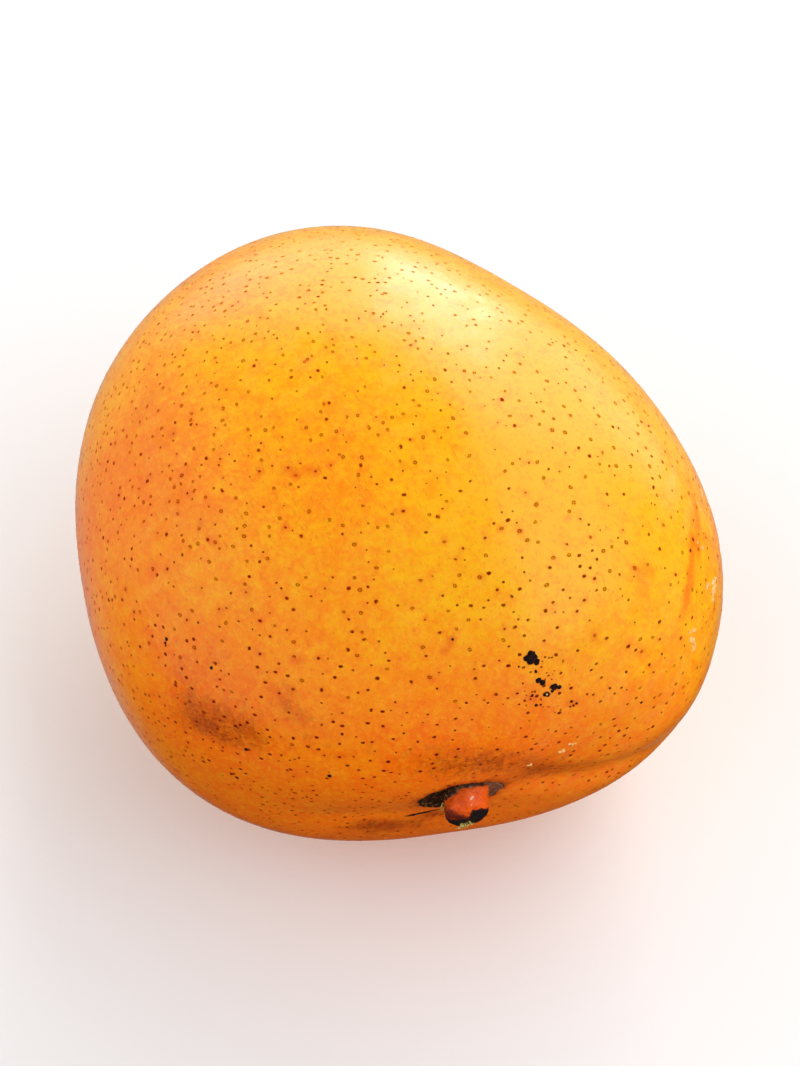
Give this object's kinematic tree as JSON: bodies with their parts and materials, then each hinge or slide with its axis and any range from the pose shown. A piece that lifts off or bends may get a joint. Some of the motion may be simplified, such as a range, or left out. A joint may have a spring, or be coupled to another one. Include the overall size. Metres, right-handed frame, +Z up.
{
  "type": "mango",
  "caption": "Whole ripe mango, short and rounded with a slight beak, lying on its flatter cheek, with a snapped stub of stalk in a corky recess.",
  "frame": {"origin": "middle of the small flat spot on the lower cheek that the fruit rests on", "axes": "+Y from the stalk end to the tip, along the fruit's length; +X across its width towards the beak's side; +Z up through its thickness"},
  "size_m": [0.095, 0.1058, 0.0748],
  "materials": {
    "skin": "smooth waxy yellow-orange fruit skin with a soft sheen",
    "cork": "dry dark cork, matt",
    "stub": "moist orange-red stalk with a dark broken tip"
  },
  "bodies": {
    "root": {"fruit": "skin", "cork_ring": "cork", "stalk_stub": "stub"}
  },
  "joints": []
}
